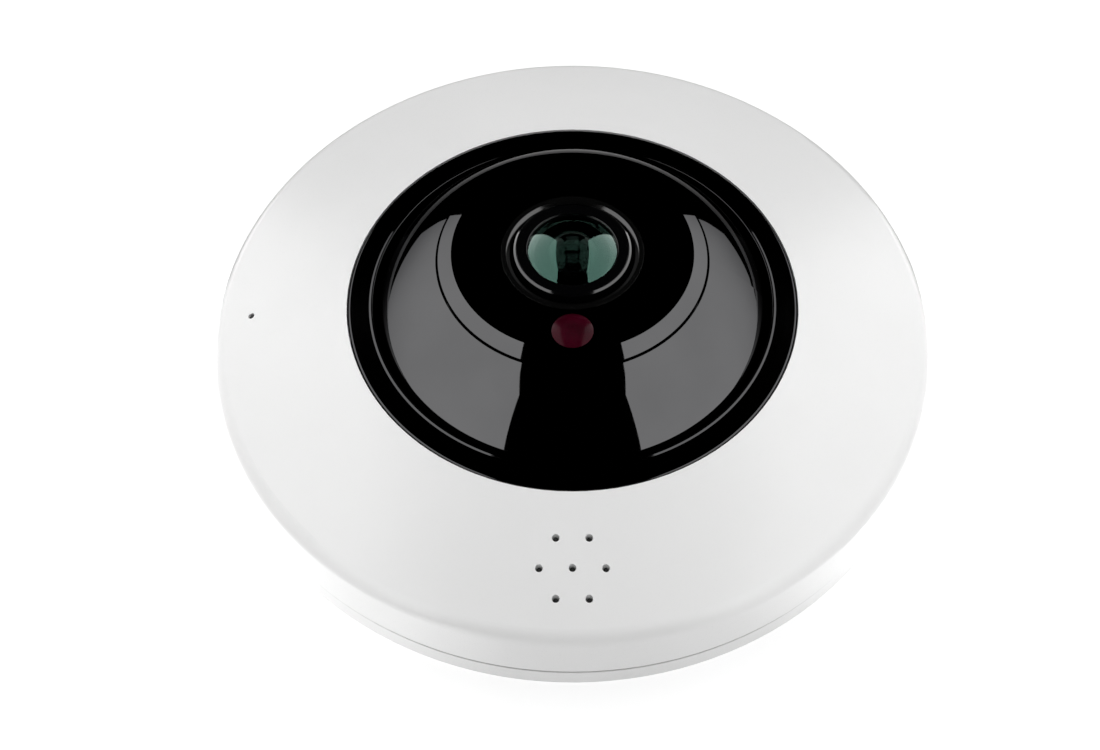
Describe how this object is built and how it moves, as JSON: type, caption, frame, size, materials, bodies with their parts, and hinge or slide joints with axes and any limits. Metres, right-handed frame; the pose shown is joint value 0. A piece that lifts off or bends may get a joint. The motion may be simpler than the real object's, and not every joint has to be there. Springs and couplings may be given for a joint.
{
  "type": "fisheye security camera",
  "caption": "Round low white fisheye network camera with a black dome, a wide bulging lens, a red sensor window, speaker and microphone holes, and a twist-off ceiling plate.",
  "frame": {"origin": "centre of the mounting plate's underside, where it meets the ceiling or the table", "axes": "+Z along the lens axis, away from the plate; -Y towards the speaker holes and the red window, +Y towards the power inlet; -X towards the microphone"},
  "size_m": [0.14, 0.14, 0.0465],
  "materials": {
    "shell_white": "satin, fine texture",
    "plate_white": "satin",
    "bezel_black": "semi-gloss",
    "dome_black": "high gloss",
    "window_red": "gloss, dark infrared-clear red",
    "barrel_black": "black anodised",
    "lens_glass": "coated",
    "filter_glass": "polished",
    "rubber_black": "matt",
    "inner_black": "matt",
    "chassis_grey": "matt",
    "board_green": "solder mask",
    "chip_black": "moulded resin",
    "lamp_clear": "clear resin",
    "connector_cream": "matt",
    "lead_white": "satin",
    "lead_black": "satin",
    "steel": "plain",
    "iron": "plated",
    "copper": "enamelled copper winding",
    "heat_sink_metal": "plain",
    "pad_grey": "soft",
    "cone_paper": "coated paper",
    "power_grey": "matt"
  },
  "bodies": {
    "camera_body": {"top_shell": "shell_white", "rear_housing": "shell_white", "case_screws": "steel", "bezel_ring": "bezel_black", "dome_gasket": "rubber_black", "dome_cover": "dome_black", "lens_deck": "dome_black", "sensor_window": "window_red", "lens_barrel": "barrel_black", "front_lens": "lens_glass", "lens_retaining_ring": "barrel_black", "second_lens": "lens_glass", "rear_lens": "lens_glass", "lens_spacers": "barrel_black", "lens_baffle": "rubber_black", "lens_holder": "inner_black", "lens_lock_ring": "barrel_black", "filter_housing": "inner_black", "changer_yoke": "iron", "changer_coil": "copper", "image_sensor": "chip_black", "sensor_board": "board_green", "sensor_board_screws": "steel", "lamp_board": "board_green", "infrared_lamps": "lamp_clear", "light_sensor": "chip_black", "lamp_board_screws": "steel", "inner_chassis": "chassis_grey", "chassis_screws": "steel", "main_board": "board_green", "board_screws": "steel", "main_processor": "chip_black", "thermal_pad": "pad_grey", "heat_sink": "heat_sink_metal", "memory_chips": "chip_black", "radio_module": "steel", "antenna": "board_green", "antenna_lead": "lead_black", "power_parts": "power_grey", "board_connectors": "connector_cream", "sensor_ribbon": "lead_white", "lamp_lead": "lead_white", "speaker_gasket": "rubber_black", "speaker_frame": "steel", "speaker_cone": "cone_paper", "speaker_magnet": "iron", "speaker_lead": "lead_black", "microphone_boot": "rubber_black", "microphone": "steel", "microphone_lead": "lead_black", "power_inlet": "steel", "card_socket": "steel", "reset_switch": "chip_black"},
    "mounting_plate": {"mounting_plate": "plate_white"},
    "reset_button": {"reset_button": "shell_white"},
    "changer_rotor": {"changer_rotor": "iron"},
    "filter_carriage": {"filter_carriage": "inner_black", "infrared_filter": "filter_glass", "clear_filter": "filter_glass"}
  },
  "joints": [
    {"name": "plate_twist", "type": "hinge", "parent": "camera_body", "child": "mounting_plate", "pos_m": [0, 0, 0], "axis": [0, 0, 1], "range_deg": [0, 30]},
    {"name": "reset_press", "type": "slide", "parent": "camera_body", "child": "reset_button", "axis": [-0.309, -0.9511, 0], "range_m": [0, 0.0003], "stiffness_N_per_m": 3000},
    {"name": "rotor_swing", "type": "hinge", "parent": "camera_body", "child": "changer_rotor", "pos_m": [0, -0.01502, 0.0247], "axis": [0, 0, 1], "range_deg": [0, 44]},
    {"name": "filter_slide", "type": "slide", "parent": "camera_body", "child": "filter_carriage", "axis": [-1, 0, 0], "range_m": [0, 0.0064]}
  ],
  "couplings": [
    {"joint": "rotor_swing", "follows": "filter_slide", "rad_per_m": 119.99}
  ]
}
